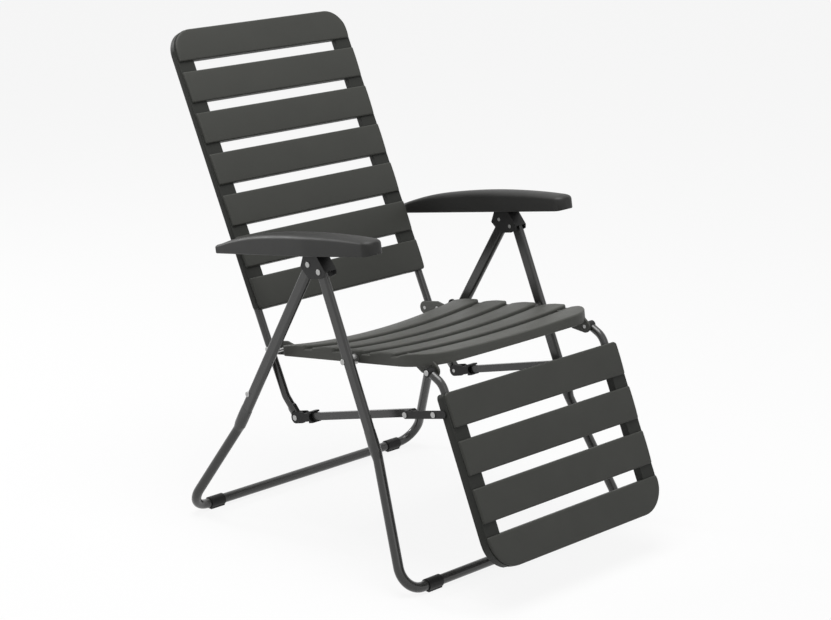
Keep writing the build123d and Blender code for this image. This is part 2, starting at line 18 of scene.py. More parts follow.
import bpy
import numpy as np
from bpy.types import ID, Material, Node, NodeSocket, NodeTree, Object
from mathutils import Matrix
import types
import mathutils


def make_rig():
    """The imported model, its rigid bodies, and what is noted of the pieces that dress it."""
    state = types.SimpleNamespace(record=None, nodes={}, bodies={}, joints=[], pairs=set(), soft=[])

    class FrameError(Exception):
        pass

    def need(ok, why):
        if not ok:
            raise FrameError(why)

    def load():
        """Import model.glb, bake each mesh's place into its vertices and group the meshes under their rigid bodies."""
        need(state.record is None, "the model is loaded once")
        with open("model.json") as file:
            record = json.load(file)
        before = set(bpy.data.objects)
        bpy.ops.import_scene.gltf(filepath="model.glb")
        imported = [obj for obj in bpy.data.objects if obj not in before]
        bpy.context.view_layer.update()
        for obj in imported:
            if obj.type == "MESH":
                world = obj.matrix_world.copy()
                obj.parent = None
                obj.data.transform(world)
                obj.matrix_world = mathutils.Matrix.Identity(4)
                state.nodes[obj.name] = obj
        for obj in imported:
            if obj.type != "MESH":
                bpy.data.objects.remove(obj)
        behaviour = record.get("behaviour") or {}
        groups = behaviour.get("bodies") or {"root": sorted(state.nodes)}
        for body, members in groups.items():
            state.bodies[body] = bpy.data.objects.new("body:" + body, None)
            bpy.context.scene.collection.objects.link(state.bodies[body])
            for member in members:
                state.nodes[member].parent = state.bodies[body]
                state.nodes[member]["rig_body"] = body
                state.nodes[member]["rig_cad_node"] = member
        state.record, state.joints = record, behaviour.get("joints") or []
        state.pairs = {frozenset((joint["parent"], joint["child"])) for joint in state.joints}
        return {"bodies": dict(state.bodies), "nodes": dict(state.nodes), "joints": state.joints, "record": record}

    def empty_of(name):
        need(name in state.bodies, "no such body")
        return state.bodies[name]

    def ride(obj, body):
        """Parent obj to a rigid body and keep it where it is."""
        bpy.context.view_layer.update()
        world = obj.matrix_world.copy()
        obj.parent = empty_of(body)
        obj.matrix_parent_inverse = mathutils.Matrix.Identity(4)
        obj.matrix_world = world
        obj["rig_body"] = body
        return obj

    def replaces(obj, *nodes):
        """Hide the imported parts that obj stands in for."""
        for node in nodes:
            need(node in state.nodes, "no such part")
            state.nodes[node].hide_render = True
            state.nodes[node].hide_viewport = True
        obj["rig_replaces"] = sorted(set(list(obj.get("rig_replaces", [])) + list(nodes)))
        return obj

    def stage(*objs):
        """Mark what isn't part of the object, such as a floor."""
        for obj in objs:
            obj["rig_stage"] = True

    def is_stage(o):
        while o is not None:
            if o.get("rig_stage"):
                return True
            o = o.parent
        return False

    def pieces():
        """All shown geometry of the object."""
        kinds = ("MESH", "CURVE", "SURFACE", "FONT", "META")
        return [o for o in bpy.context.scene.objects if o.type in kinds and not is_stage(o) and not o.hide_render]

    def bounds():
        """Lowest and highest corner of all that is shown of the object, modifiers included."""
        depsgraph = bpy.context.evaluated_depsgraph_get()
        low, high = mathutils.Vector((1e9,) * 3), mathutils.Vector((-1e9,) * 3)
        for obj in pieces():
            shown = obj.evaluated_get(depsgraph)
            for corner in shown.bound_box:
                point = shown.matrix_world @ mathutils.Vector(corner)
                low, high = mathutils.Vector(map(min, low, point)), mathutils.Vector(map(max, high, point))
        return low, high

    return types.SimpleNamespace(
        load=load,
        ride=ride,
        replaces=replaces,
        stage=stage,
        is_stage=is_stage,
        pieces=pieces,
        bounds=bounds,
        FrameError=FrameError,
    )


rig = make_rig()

LOG = logging.getLogger("armchair")
Y_SHIFT = -0.0029662
SIDES = (-1, 1)
WHITE = (1.0, 1.0, 1.0, 1.0)
# The least size that rounding leaves of a part, and the angle in degrees up to which an edge is
# shaded smooth.
LEAST = 0.004
CREASE = 38.0
# What all finishes share: the noises' details, the roughness noise's scale over the colour's, the
# clear coat's roughness and the depth of the surface grain in metres.
COLOUR_DETAIL = 5.0
ROUGH_DETAIL = 4.0
GRAIN_DETAIL = 3.0
UNEVEN = 3.0
COAT_ROUGHNESS = 0.3
GRAIN_DEPTH = 0.0004

# Samples of a slatted panel: round a rim, across a crown, evenly along a slat, round a corner of
# the outline, round a slat's end, along a channel's filled end, and the fewest along a rail.
RIM_STEPS = 7
CROWN_STEPS = 13
PANEL_STEPS = 15
CORNER_STEPS = 24
END_STEPS = 7
BLANK_STEPS = 12
RAIL_LEAST = 4
# Samples of the seat: evenly along a slat, towards its end, along its top, round the rim's edge,
# round a corner of the outline, and along one of its long edges.
SEAT_STEPS = 25
SEAT_END_STEPS = 30
TOP_STEPS = 6
LIP_STEPS = 6
RING_STEPS = 12
EDGE_CUTS = 18
# Samples of a plate: round its rims and round its outline.
PLATE_STEPS = 4
HULL_STEPS = 40
# Samples of a swage: round it, above the tubes' meeting point and below it.
SWAGE_AROUND = 48
SWAGE_ABOVE = 16
SWAGE_BELOW = 9
# Samples of an arm rest: of a mean thickness, along the arm, round its tip, round an upper corner.
MEAN_STEPS = 11
ARM_STEPS = 50
TIP_STEPS = 14
ARCH_STEPS = 9

Pair = tuple[float, float]
Triple = tuple[float, float, float]


class Body(Enum):
    """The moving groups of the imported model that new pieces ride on."""

    FRAME = "frame"
    REAR_LEGS = "rear_legs"
    BACK = "back"
    ARMS = "arms"
    FOOTREST = "footrest"


class Slot(Enum):
    """The record's material slots."""

    MOULDING = "moulding"
    TUBE = "tube"
    JOINT = "joint_plastic"
    PLATE = "plate"
    RIVET = "rivet"


def set_inputs(node: Node, values: dict[str, float | tuple[float, ...]]) -> None:
    """Set some of a node's inputs by their names."""
    for name, value in values.items():
        node.inputs[name].default_value = value


def add_noise(tree: NodeTree, place: Node, scale: float, detail: float) -> NodeSocket:
    """Add a noise texture on Object coordinates.

    Args:
        tree: The material's node tree.
        place: The texture coordinate node.
        scale: The noise's scale, in cells per metre.
        detail: The noise's detail.

    Returns:
        The noise's value.
    """
    node = tree.nodes.new("ShaderNodeTexNoise")
    set_inputs(node, {"Scale": scale, "Detail": detail})
    tree.links.new(place.outputs["Object"], node.inputs["Vector"])
    return node.outputs["Fac"]


@dataclass(frozen=True)
class Finish:
    """One procedural finish.

    A slow noise mottles the colour, another one the roughness, and a fine noise gives the
    moulded or coated grain.

    Attributes:
        name: The material's name.
        dark: The darker base colour, linear RGB.
        light: The lighter base colour, linear RGB.
        roughness: The roughness range that the mottling runs through.
        metallic: The metallic share.
        grain: The scale of the mottling in cells per metre.
        fine: The scale of the surface grain in cells per metre.
        bump: The strength of the surface grain.
        coat: The weight of the clear coat.
        shine: The strength of the plain reflection, 0.5 being an ordinary plastic's.
    """

    name: str
    dark: Triple
    light: Triple
    roughness: Pair
    metallic: float = 0.0
    grain: float = 9.0
    fine: float = 900.0
    bump: float = 0.05
    coat: float = 0.0
    shine: float = 0.3

    @cache
    def material(self) -> Material:
        """Build the node tree of the finish, the first time that it is asked for.

        Returns:
            The material.
        """
        material = bpy.data.materials.new(self.name)
        material.use_nodes = True
        tree = material.node_tree
        shader = tree.nodes["Principled BSDF"]
        set_inputs(shader, {"Metallic": self.metallic, "Specular IOR Level": self.shine,
                            "Coat Weight": self.coat, "Coat Roughness": COAT_ROUGHNESS})
        place = tree.nodes.new("ShaderNodeTexCoord")
        colour = tree.nodes.new("ShaderNodeMix")
        colour.data_type = "RGBA"
        share, dark, light = (colour.inputs[i] for i in (0, 6, 7))
        dark.default_value = (*self.dark, 1.0)
        light.default_value = (*self.light, 1.0)
        tree.links.new(add_noise(tree, place, self.grain, COLOUR_DETAIL), share)
        tree.links.new(colour.outputs[2], shader.inputs["Base Color"])
        rough = tree.nodes.new("ShaderNodeMapRange")
        set_inputs(rough, {"To Min": self.roughness[0], "To Max": self.roughness[1]})
        mottling = add_noise(tree, place, self.grain * UNEVEN, ROUGH_DETAIL)
        tree.links.new(mottling, rough.inputs["Value"])
        tree.links.new(rough.outputs["Result"], shader.inputs["Roughness"])
        bump = tree.nodes.new("ShaderNodeBump")
        set_inputs(bump, {"Strength": self.bump, "Distance": GRAIN_DEPTH})
        tree.links.new(add_noise(tree, place, self.fine, GRAIN_DETAIL), bump.inputs["Height"])
        tree.links.new(bump.outputs["Normal"], shader.inputs["Normal"])
        return material


PANEL_FINISH = Finish("panel_plastic", (0.030, 0.031, 0.027), (0.041, 0.042, 0.037),
                      (0.46, 0.60), bump=0.35)
# The rails' darker colour is painted shade for their recess behind the slats; their coarse grain is real texture. The
# spacers use this finish for their own dark plastic.
RAIL_SHADE_AND_SPACER_FINISH = Finish("rail_shade_and_spacer_plastic", (0.017, 0.018, 0.016), (0.026, 0.027, 0.024),
                     (0.50, 0.66), fine=420.0, bump=0.8, shine=0.2)
# The seat is the panels' plastic made lighter: the extra lightness is painted light, from the overhead light on its
# top.
SEAT_PAINTED_LIGHT_FINISH = Finish("seat_painted_light_plastic", (0.052, 0.053, 0.047), (0.066, 0.067, 0.060),
                     (0.46, 0.60), bump=0.35)
ARM_FINISH = Finish("arm_plastic", (0.016, 0.016, 0.015), (0.024, 0.024, 0.023),
                    (0.42, 0.56), bump=0.20)
TUBE_FINISH = Finish("tube_coat", (0.015, 0.015, 0.014), (0.023, 0.023, 0.022),
                     (0.22, 0.30), coat=0.3, fine=1400.0, bump=0.03, shine=0.5)
JOINT_FINISH = Finish("joint_plastic", (0.006, 0.006, 0.006), (0.010, 0.010, 0.010),
                      (0.38, 0.52), shine=0.25)
PLATE_FINISH = Finish("plate_coat", (0.008, 0.008, 0.008), (0.014, 0.014, 0.014), (0.36, 0.48))
RIVET_FINISH = Finish("rivet_zinc", (0.36, 0.36, 0.36), (0.46, 0.46, 0.45),
                      (0.30, 0.42), metallic=1.0, grain=60.0)

FINISH_BY_SLOT = {
    Slot.MOULDING: PANEL_FINISH,
    Slot.TUBE: TUBE_FINISH,
    Slot.JOINT: JOINT_FINISH,
    Slot.PLATE: PLATE_FINISH,
    Slot.RIVET: RIVET_FINISH,
}


def add_object(name: str, data: ID) -> Object:
    """Link an object to the scene.

    Args:
        name: The object's name.
        data: Its mesh, lamp or camera data.

    Returns:
        The new object.
    """
    obj = bpy.data.objects.new(name, data)
    bpy.context.scene.collection.objects.link(obj)
    return obj


def stand(right: np.ndarray, up: np.ndarray, back: np.ndarray, place: Triple) -> Matrix:
    """Turn three axes and a place into an object's matrix.

    Args:
        right: The object's X axis.
        up: Its Y axis.
        back: Its Z axis, which a camera or a lamp looks away from.
        place: Its place.

    Returns:
        The matrix.
    """
    turn = np.eye(4)
    turn[:3, 0], turn[:3, 1], turn[:3, 2], turn[:3, 3] = right, up, back, place
    return Matrix(turn.tolist())


def unit(vector: np.ndarray) -> np.ndarray:
    """Return a vector at a length of 1."""
    return vector / np.linalg.norm(vector)


def quarter(count: int, start: float = 0.0) -> np.ndarray:
    """Return a count of angles in radians, through a quarter turn from a start in degrees."""
    return np.radians(start + np.linspace(0, 90, count))


def crowd(count: int) -> np.ndarray:
    """Return a count of shares from 0 to 1, which crowd towards 1 as a sine does."""
    return np.sin(np.linspace(0, math.pi / 2, count))


def ease(share: float) -> float:
    """Return 3t^2 - 2t^3 of a share t, which starts and ends level."""
    return share * share * (3 - 2 * share)


def fall_share(over: float) -> float:
    """Return a quarter circle's fall past its start, both as shares of its radius."""
    over = min(max(over, 0.0), 1.0)
    return 1 - math.sqrt(1 - over * over)


def corner_pull(x: float, radius: float, half: float) -> float:
    """Return how far a corner's radius pulls an edge in at a station x of an outline."""
    over = min(max(abs(x) - (half - radius), 0.0), radius)
    return radius - math.sqrt(radius * radius - over * over)


def lay(local: np.ndarray, start: Pair, along: Pair) -> np.ndarray:
    """Turn a part's own coordinates into the frame's.

    Args:
        local: Points (across, along the part, out of it) in the last axis.
        start: The (y, z) of the part's start.
        along: The (y, z) direction that it runs in; it faces a quarter turn from there.

    Returns:
        The points (x, y, z) in an array of the same shape.
    """
    x, u, n = local[..., 0], local[..., 1], local[..., 2]
    y = start[0] + u * along[0] - n * along[1] + Y_SHIFT
    z = start[1] + u * along[1] + n * along[0]
    return np.stack([x, y, z], axis=-1)


def stack_rings(rings: Sequence[Sequence[Triple]], flip: bool) -> np.ndarray:
    """Return a loft's rings as one array, each turned the other way for a mirrored side."""
    stack = np.array(rings)
    return stack[:, ::-1] if flip else stack


@dataclass
class MeshBuffer:
    """Vertices and faces gathered from several lofts into one mesh.

    Attributes:
        points: The lofts' vertices.
        faces: The faces' vertex numbers.
        tints: Each face's material number.
        count: The number of vertices so far.
        tint: The material number for the lofts to come.
    """

    points: list[np.ndarray] = field(default_factory=list)
    faces: list[tuple[int, ...]] = field(default_factory=list)
    tints: list[int] = field(default_factory=list)
    count: int = 0
    tint: int = 0

    def loft(self, rings: np.ndarray, loop: bool = False) -> None:
        """Add a closed loft.

        Args:
            rings: An array (stations, points, 3). Neighbouring stations are joined by quads
                and each ring is closed.
            loop: Whether the last station joins the first; otherwise both ends get a cap.
        """
        stations, around, _ = rings.shape
        base = self.count
        self.points.append(rings.reshape(-1, 3))
        self.count += stations * around
        for i in range(stations if loop else stations - 1):
            for j in range(around):
                k = (j + 1) % around
                low, high = base + i * around, base + ((i + 1) % stations) * around
                self.faces.append((low + j, low + k, high + k, high + j))
        if not loop:
            self.faces.append(tuple(base + j for j in range(around - 1, -1, -1)))
            self.faces.append(tuple(base + (stations - 1) * around + j for j in range(around)))
        self.tints += [self.tint] * (len(self.faces) - len(self.tints))

    def make(self, name: str, *finishes: Finish) -> Object:
        """Write the buffer to a smooth-shaded object with sharp corners kept.

        Args:
            name: The object's name.
            *finishes: Its finishes, in the order of the material numbers.

        Returns:
            The new object.
        """
        mesh = bpy.data.meshes.new(name)
        mesh.from_pydata(np.concatenate(self.points).tolist(), [], self.faces)
        mesh.update()
        mesh.shade_smooth()
        mesh.set_sharp_from_angle(angle=math.radians(CREASE))
        for finish in finishes:
            mesh.materials.append(finish.material())
        mesh.polygons.foreach_set("material_index", self.tints)
        return add_object(name, mesh)


def prism(buffer: MeshBuffer, outline: np.ndarray, ends: Iterable[float], round_r: float) -> None:
    """Add a plate with a side-view outline and rounded rims.

    Args:
        buffer: Where the plate goes.
        outline: Points (y, z) of a convex outline, as an array (points, 2).
        ends: The plate's two end stations across, in either order.
        round_r: The radius of both rims.
    """
    low_x, high_x = sorted(ends)
    middle = outline.mean(axis=0)
    reach = np.linalg.norm(outline - middle, axis=1, keepdims=True)
    stations = [(low_x + round_r * (1 - math.cos(a)), round_r * (1 - math.sin(a)))
                for a in quarter(PLATE_STEPS)]
    stations += [(high_x - (x - low_x), inset) for x, inset in stations[::-1]]
    rings = []
    for x, inset in stations:
        shrunk = middle + (outline - middle) * (1 - inset / reach)
        rings.append(np.column_stack([np.full(len(outline), x), shrunk]))
    buffer.loft(np.array(rings))


def hull_of_discs(discs: Sequence[Triple]) -> np.ndarray:
    """Draw the convex outline round some discs.

    For each direction the outline's point is the farthest that any disc reaches.

    Args:
        discs: The discs, each (y, z, radius), with y from the chair's own middle.

    Returns:
        The outline in the frame, as an array (points, 2) of (y, z).
    """
    points = []
    for a in np.linspace(0, 2 * math.pi, HULL_STEPS, endpoint=False):
        ray = np.array([math.cos(a), math.sin(a)])
        best = max(discs, key=lambda d: float(np.dot(d[:2], ray)) + d[2])
        points.append(np.array(best[:2]) + best[2] * ray)
    return np.array(points) + np.array([Y_SHIFT, 0.0])


@dataclass(frozen=True)
class PanelPlan:
    """The measures of a slatted panel, in metres.

    Attributes:
        name: The replacement's name.
        node: The CAD node that it stands for.
        foot: The (y, z) of the face's lowest line.
        lean: The lean back from upright, in degrees.
        rows: The number of slats.
        pitch: The slats' spacing up the face.
        slat: One slat's height.
        top_r: The outline's top corner radius.
        low_r: The outline's bottom corner radius.
        half: Half the outline's width.
        rail: A side rail's width.
        deep: The rail's depth behind the face.
        channel: The stile channel's two ends up the face.
    """

    name: str
    node: str
    foot: Pair
    lean: float
    rows: int
    pitch: float
    slat: float
    top_r: float
    low_r: float
    half: float
    rail: float
    deep: float
    channel: Pair

    @property
    def height(self) -> float:
        """The panel's full height up its face."""
        return (self.rows - 1) * self.pitch + self.slat


BACK_PLAN = PanelPlan(
    name="back_slats", node="back_panel", foot=(0.209, 0.475), lean=26.5, rows=7, pitch=0.0925,
    slat=0.0692, top_r=0.052, low_r=0.009, half=0.248, rail=0.043, deep=0.019,
    channel=(-0.010, 0.5796))
FOOT_PLAN = PanelPlan(
    name="foot_slats", node="foot_panel", foot=(-0.4990, 0.0890), lean=24.2, rows=4, pitch=0.0974,
    slat=0.0709, top_r=0.009, low_r=0.062, half=0.2565, rail=0.040, deep=0.024,
    channel=(0.0496, 0.375))


@dataclass(frozen=True)
class SlattedPanel:
    """A one-piece moulding: hollow-backed slats over recessed rails that clip on the stiles.

    Attributes:
        plan: The panel's measures.
        inset: How far the slats' ends lie inside the outline.
        recess: How far the rails lie behind the slats' faces.
        stile: The stile's station from the middle.
        clear: Half the channel that the stile lies in.
        lip: The depth of a slat's upper and lower lips.
        over_rail: A slat's depth where it crosses a rail.
        wall: A slat's wall thickness.
        rim: The radius of a slat's long front edges.
        narrow: The largest share of a section's height that a rim or a wall takes.
        crown: How far a slat's face bulges.
        flare: How much wider a slat is at its top than at its bottom, each side.
        slat_r: A slat's own corner radius.
        end_r: The radius of a slat's ends.
        end_depth: How far behind the face that rounding reaches.
        least: The least height of a slat's section.
        rail_r: The radius of a rail's outer front edge.
        cover: The depth behind the face at which the stile's channel starts.
        blank: The depth behind the face at which the channel's filled end starts.
        margin: The gap between the evenly spaced stations and the crowded ones.
        rail_step: The spacing of a rail's stations.
    """

    plan: PanelPlan
    inset: float = 0.002
    recess: float = 0.005
    stile: float = 0.237
    clear: float = 0.0089
    lip: float = 0.017
    over_rail: float = 0.0085
    wall: float = 0.0035
    rim: float = 0.0035
    narrow: float = 0.3
    crown: float = 0.0008
    flare: float = 0.0015
    slat_r: float = 0.0025
    end_r: float = 0.0035
    end_depth: float = 0.0045
    least: float = 0.003
    rail_r: float = 0.0025
    cover: float = 0.0092
    blank: float = 0.009
    margin: float = 0.01
    rail_step: float = 0.0012

    def to_world(self, local: np.ndarray) -> np.ndarray:
        """Lay points (across, up the face, out of the face) in the frame."""
        lean = math.radians(self.plan.lean)
        return lay(local, self.plan.foot, (math.sin(lean), math.cos(lean)))

    def face_section(self, low: float, high: float, back: float) -> np.ndarray:
        """Draw a slat's section: crowned face, soft front rims and two lips behind.

        The face is a shallow parabola between the rims' quarter circles.

        Args:
            low: The section's lower edge up the face.
            high: Its upper edge.
            back: How far its lips reach behind the face.

        Returns:
            The section as an array (points, 2) of (up, out of the face).
        """
        rim, wall = (min(size, (high - low) * self.narrow) for size in (self.rim, self.wall))
        turn = quarter(RIM_STEPS)
        middle, reach = (low + high) / 2, (high - low) / 2 - rim
        crown = np.linspace(-1, 1, CROWN_STEPS)[1:-1]
        points = [(low + rim * (1 - math.cos(a)), -rim * (1 - math.sin(a))) for a in turn]
        points += [(middle + reach * t, self.crown * (1 - t * t)) for t in crown]
        points += [(high - rim * (1 - math.cos(a)), -rim * (1 - math.sin(a))) for a in turn[::-1]]
        points += [(high, -back), (high - wall, -back), (high - wall, -wall), (low + wall, -wall),
                   (low + wall, -back), (low, -back)]
        return np.array(points)

    def stations(self, half: float) -> np.ndarray:
        """Space a slat's stations, crowded towards the outline's corners and the slat's ends.

        Args:
            half: Half the slat's width.

        Returns:
            The stations from one end to the other.
        """
        big = max(self.plan.top_r, self.plan.low_r)
        start = half - self.end_r
        corner = half - big + big * crowd(CORNER_STEPS)
        cap = start + self.end_r * crowd(END_STEPS)[1:]
        ends = np.concatenate([corner[corner < start], [start], cap])
        middle = half - big - self.margin
        return np.concatenate([-ends[::-1], np.linspace(-middle, middle, PANEL_STEPS), ends])

    def slat(self, buffer: MeshBuffer, row: int) -> None:
        """Add one slat, rounded off at both ends.

        Args:
            buffer: Where the slat goes.
            row: Its number, counted up from 0.
        """
        plan = self.plan
        low, high = row * plan.pitch, row * plan.pitch + plan.slat
        half = plan.half - self.inset
        top_r = plan.top_r if row == plan.rows - 1 else self.slat_r
        low_r = plan.low_r if row == 0 else self.slat_r
        rings = []
        for x in self.stations(half):
            fall = self.end_r * fall_share((abs(x) - (half - self.end_r)) / self.end_r)
            top = high - corner_pull(x, top_r, half)
            base = low + corner_pull(x, low_r, half)
            inside = abs(x) < plan.half - plan.rail
            back = max(self.lip - fall, LEAST) if inside else self.over_rail
            section = self.face_section(base, max(top, base + self.least), back)
            taper = 1.0 - self.flare * (1 - (section[:, 0] - low) / plan.slat) / half
            depth = np.maximum(section[:, 1], -back) - fall * (section[:, 1] > -self.end_depth)
            rings.append(np.column_stack([x * taper, section[:, 0], depth]))
        buffer.loft(self.to_world(np.array(rings)))

    def span(self, x: float) -> Pair:
        """Return the outline's lower and upper edge at a station across."""
        base, top = (corner_pull(x, r, self.plan.half) for r in (self.plan.low_r, self.plan.top_r))
        return base, self.plan.height - top

    def cut(self, x: float, span: Pair, front: float, back: float) -> list[Triple]:
        """Return one station of a rail, a rectangle with a front and a back out of the face."""
        return [(x, span[0], front), (x, span[1], front), (x, span[1], back), (x, span[0], back)]

    def rail(self, buffer: MeshBuffer, side: int) -> None:
        """Add one rail: a plate following the rounded outline, with lips round the stile.

        The channel that the stile lies in is filled at the end that the stile stops short of.

        Args:
            buffer: Where the rail goes.
            side: -1 for the near side and 1 for the far side.
        """
        plan = self.plan
        near, far = self.stile - self.clear, self.stile + self.clear
        walls = ((plan.half - plan.rail, near, plan.deep), (near, far, self.cover),
                 (far, plan.half, plan.deep))
        for low_x, high_x, deep in walls:
            count = max(int((high_x - low_x) / self.rail_step), RAIL_LEAST)
            rings = []
            for x in np.linspace(low_x, high_x, count):
                fall = self.rail_r * fall_share((x - (plan.half - self.rail_r)) / self.rail_r)
                rings.append(self.cut(side * x, self.span(x), -self.recess - fall, -deep))
            buffer.loft(self.to_world(stack_rings(rings, side > 0)))
        rings = []
        for x in np.linspace(near, far, BLANK_STEPS):
            base, top = self.span(x)
            if plan.channel[1] < plan.height:
                base = plan.channel[1]
            else:
                top = plan.channel[0]
            rings.append(self.cut(side * x, (base, top), -self.blank, -plan.deep))
        buffer.loft(self.to_world(stack_rings(rings, side > 0)))

    def build(self, body: Body) -> Object:
        """Make the panel and hang it on its body.

        Args:
            body: The body that the panel moves with.

        Returns:
            The panel.
        """
        buffer = MeshBuffer()
        for row in range(self.plan.rows):
            self.slat(buffer, row)
        # The rails take the darker finish: painted shade for their recess behind the slats.
        buffer.tint = 1
        for side in SIDES:
            self.rail(buffer, side)
        obj = buffer.make(self.plan.name, PANEL_FINISH, RAIL_SHADE_AND_SPACER_FINISH)
        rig.replaces(obj, self.plan.node)
        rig.ride(obj, body.value)
        return obj


@dataclass(frozen=True)
class Seat:
    """The dished seat: five shingled slats over a rim with a deep rounded skirt, and its lugs.

    Attributes:
        front: The (y, z) of the side edges' front end.
        angle: How far the seat falls to the rear, in degrees.
        half: Half its width.
        length: Its length from front to rear.
        dish: How far its middle lies below its sides at the front.
        rear_dish: The same at the rear.
        rows: The number of slats.
        gap: The width of a groove between two slats.
        gap_shares: The groove's shares taken from the slats before and behind it.
        notch: How far the rim lies below the slats' tops.
        drop: How far a slat falls to its rear rim.
        drop_start: The share of the slat where that starts.
        drop_power: The power of its curve.
        flange: The width of the rim that the slats' ends rest on.
        thick: A slat's thickness.
        skirt: The depth of the skirt below the side edges.
        wall: The skirt's thickness.
        follow: The share of the dish that the skirt's lower edge follows.
        toe: The skirt's lowest line, as (share of the wall, depth below the skirt).
        front_r: The front corners' radius in plan.
        rear_r: The rear corners' radius in plan.
        slat_r: A slat's own plan corner radius.
        end_r: The radius of a slat's ends.
        front_rim: The width and the depth of a slat's front rim.
        rear_rim: The radius of a slat's rear rim.
        narrow: The largest shares of a slat's length that those rims take.
        lip: The radius of the rim's outer upper edge.
        lug_x: The lugs' station from the middle.
        lug_thick: A lug's thickness.
        lug_rim: The radius of a lug's rims.
        front_lug: The discs of the footrest's lug, the hinge first.
        rear_lug: The discs of the back's lug: the hinge, the knob and the root.
        flat: How far from the middle the evenly spaced stations reach.
        long_edge: The length above which an edge is divided.
    """

    front: Pair = (-0.300, 0.486)
    angle: float = 8.8
    half: float = 0.258
    length: float = 0.4363
    dish: float = 0.008
    rear_dish: float = 0.019
    rows: int = 5
    gap: float = 0.008
    gap_shares: Pair = (0.4, 0.6)
    notch: float = 0.0075
    drop: float = 0.0052
    drop_start: float = 0.4
    drop_power: float = 1.5
    flange: float = 0.030
    thick: float = 0.011
    skirt: float = 0.026
    wall: float = 0.005
    follow: float = 0.25
    toe: Pair = (0.3, 0.001)
    front_r: float = 0.080
    rear_r: float = 0.012
    slat_r: float = 0.012
    end_r: float = 0.0045
    front_rim: Pair = (0.0045, 0.0035)
    rear_rim: float = 0.004
    narrow: Pair = (0.45, 0.3)
    lip: float = 0.004
    lug_x: float = 0.223
    lug_thick: float = 0.0052
    lug_rim: float = 0.0012
    front_lug: tuple[Triple, ...] = ((-0.291, 0.446, 0.0135), (-0.258, 0.441, 0.006),
                                     (-0.215, 0.462, 0.004), (-0.280, 0.466, 0.004))
    rear_lug: tuple[Triple, ...] = ((0.1872, 0.3909, 0.015), (0.148, 0.398, 0.015),
                                    (0.105, 0.402, 0.004), (0.128, 0.402, 0.004))
    flat: float = 0.172
    long_edge: float = 0.1

    def to_world(self, local: np.ndarray) -> np.ndarray:
        """Lay points (across, back along the seat, up from its edge line) in the frame."""
        fall = math.radians(self.angle)
        return lay(local, self.front, (math.cos(fall), -math.sin(fall)))

    def surface(self, x: np.ndarray, u: np.ndarray) -> np.ndarray:
        """Return the dish's height, a parabola across that is level with the edge line."""
        share = np.clip(u / self.length, 0.0, 1.0)
        return (self.dish + (self.rear_dish - self.dish) * share) * ((x / self.half) ** 2 - 1)

    def slat_section(self, base: float, top: float, fall: float) -> np.ndarray:
        """Draw a slat's section before it is dished: a crisp front rim and a rounded rear rim.

        Args:
            base: The section's front end along the seat.
            top: Its rear end.
            fall: How far the slat's rounded end falls here.

        Returns:
            The section as an array (points, 2) of (back along the seat, up).
        """
        turn = quarter(RIM_STEPS)
        wide = min(self.front_rim[0], (top - base) * self.narrow[0])
        tight = min(self.rear_rim, (top - base) * self.narrow[1])
        deep = min(self.front_rim[1], self.thick - fall)
        points = [(base + wide * (1 - math.sin(a)), -deep * (1 - math.cos(a))) for a in turn[::-1]]
        points += [(u, 0.0) for u in np.linspace(base + wide, top - tight, TOP_STEPS)[1:-1]]
        points += [(top - tight * (1 - math.sin(a)), -tight * (1 - math.cos(a))) for a in turn]
        points += [(top, -self.thick), (base, -self.thick)]
        return np.array(points)

    def slat(self, buffer: MeshBuffer, row: int) -> None:
        """Add one slat, whose ends round off in plan and in height as raised bumps.

        The slat falls to its rear rim, so the next slat's front wall stands above it.

        Args:
            buffer: Where the slat goes.
            row: Its number, counted back from 0.
        """
        pitch = self.length / self.rows
        low, high = row * pitch, (row + 1) * pitch
        low_r, high_r = self.front_r, self.rear_r
        if row:
            low, low_r = low + self.gap * self.gap_shares[1], self.slat_r
        if row < self.rows - 1:
            high, high_r = high - self.gap * self.gap_shares[0], self.slat_r
        ends = self.half - self.front_r * (1 - crowd(SEAT_END_STEPS))
        even = np.linspace(-self.flat, self.flat, SEAT_STEPS)
        rings = []
        for x in np.concatenate([-ends[::-1], even, ends]):
            fall = self.end_r * fall_share((abs(x) - (self.half - self.end_r)) / self.end_r)
            base = low + corner_pull(x, low_r, self.half)
            top = max(high - corner_pull(x, high_r, self.half), base + LEAST)
            u, up = self.slat_section(base, top, fall).T
            share = ((u - low) / (high - low) - self.drop_start) / (1 - self.drop_start)
            up = up - fall - self.drop * np.clip(share, 0.0, 1.0) ** self.drop_power
            up = np.maximum(up, -self.thick) + self.surface(np.array(x), u)
            rings.append(np.column_stack([np.full(len(u), x), u, up]))
        buffer.loft(self.to_world(np.array(rings)))

    def ring(self, inset: float) -> np.ndarray:
        """Draw the plan outline, pulled in by an inset.

        Args:
            inset: How far it is pulled in.

        Returns:
            The outline as an array (points, 2) of (x, back along the seat).
        """
        front_r, rear_r = (max(r - inset, LEAST) for r in (self.front_r, self.rear_r))
        corners = ((1, False, front_r, -90.0), (1, True, rear_r, 0.0),
                   (-1, True, rear_r, 90.0), (-1, False, front_r, 180.0))
        points = []
        for side, rear, radius, start in corners:
            x = side * (self.half - inset - radius)
            u = self.length - inset - radius if rear else inset + radius
            for a in quarter(RING_STEPS, start):
                points.append((x + radius * math.cos(a), u + radius * math.sin(a)))
        dense = []
        for here, after in zip(points, points[1:] + points[:1]):
            cuts = EDGE_CUTS if math.dist(here, after) > self.long_edge else 1
            for share in np.arange(cuts) / cuts:
                dense.append([a + (b - a) * share for a, b in zip(here, after)])
        return np.array(dense)

